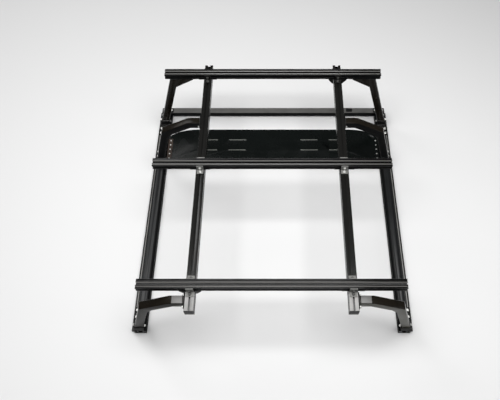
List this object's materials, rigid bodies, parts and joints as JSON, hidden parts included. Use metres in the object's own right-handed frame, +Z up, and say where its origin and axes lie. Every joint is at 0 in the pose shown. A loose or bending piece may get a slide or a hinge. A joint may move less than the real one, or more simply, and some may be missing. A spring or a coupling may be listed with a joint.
{
  "type": "ladder rack",
  "caption": "Over-bed pickup ladder rack: slotted side rails and header, bent legs, long rails and sliding slotted crossbars over a front deck.",
  "frame": {"origin": "centre of the bounding box in plan, on the plane that the side rails rest on", "axes": "+X to the right-hand side, +Y towards the header bar (the cab end), +Z up"},
  "size_m": [1.7, 1.752, 0.59],
  "materials": {
    "side_rail": "satin black powder coat on aluminium",
    "seal": "black rubber",
    "header": "satin black powder coat",
    "header_plate": "black powder coat",
    "clamp": "black moulded plastic",
    "deck": "gloss black sheet metal",
    "deck_strip": "worn black coat with brown primer showing",
    "deck_angle": "black powder coat",
    "long_rail": "black anodised",
    "crossbar": "black anodised, bright lips",
    "end_cap": "black moulded plastic",
    "angle": "grey coated steel",
    "arm_plate": "grey coated steel",
    "leg_tube": "gloss black powder coat on steel",
    "shoe": "black powder coat on steel",
    "saddle": "black powder coat on steel",
    "zinc_fastener": "zinc plated"
  },
  "bodies": {
    "frame": {"side_rail_left": "side_rail", "side_rail_right": "side_rail", "rail_seal_left": "seal", "rail_seal_right": "seal", "header_bar": "header", "header_corner_left": "header_plate", "header_corner_right": "header_plate", "header_bolts": "zinc_fastener", "header_clamp": "clamp", "deck_panel": "deck", "deck_strip_left": "deck_strip", "deck_strip_right": "deck_strip", "deck_angle_left": "deck_angle", "deck_angle_right": "deck_angle", "deck_screws": "zinc_fastener", "front_post_left": "leg_tube", "front_post_right": "leg_tube", "post_cap_left": "leg_tube", "post_cap_right": "leg_tube", "corner_gusset_left": "leg_tube", "corner_gusset_right": "leg_tube", "leg_front_left": "leg_tube", "leg_front_right": "leg_tube", "leg_rear_left": "leg_tube", "leg_rear_right": "leg_tube", "shoe_post_left": "shoe", "shoe_post_right": "shoe", "shoe_front_left": "shoe", "shoe_front_right": "shoe", "shoe_rear_left": "shoe", "shoe_rear_right": "shoe", "arm_plate_front_left": "arm_plate", "arm_plate_front_right": "arm_plate", "arm_plate_rear_left": "arm_plate", "arm_plate_rear_right": "arm_plate", "arm_covers": "arm_plate", "foot_bolts": "zinc_fastener", "foot_nuts": "zinc_fastener", "cross_bolts": "zinc_fastener", "cross_nuts": "zinc_fastener", "arm_bolts": "zinc_fastener", "arm_nuts": "zinc_fastener", "long_rail_left": "long_rail", "long_rail_right": "long_rail", "rail_end_caps": "end_cap", "crossbar_front": "crossbar", "saddles_front": "saddle", "angles_front": "angle", "bar_bolts_front": "zinc_fastener", "bar_nuts_front": "zinc_fastener"},
    "mid_bar": {"crossbar_mid": "crossbar", "saddles_mid": "saddle", "angles_mid": "angle", "bar_bolts_mid": "zinc_fastener", "bar_nuts_mid": "zinc_fastener"},
    "rear_bar": {"crossbar_rear": "crossbar", "saddles_rear": "saddle", "angles_rear": "angle", "bar_bolts_rear": "zinc_fastener", "bar_nuts_rear": "zinc_fastener"}
  },
  "joints": [
    {"name": "mid_bar_slide", "type": "slide", "parent": "frame", "child": "mid_bar", "axis": [0, 1, 0], "range_m": [-0.24, 0.24]},
    {"name": "rear_bar_slide", "type": "slide", "parent": "frame", "child": "rear_bar", "axis": [0, 1, 0], "range_m": [0, 0.34]}
  ]
}
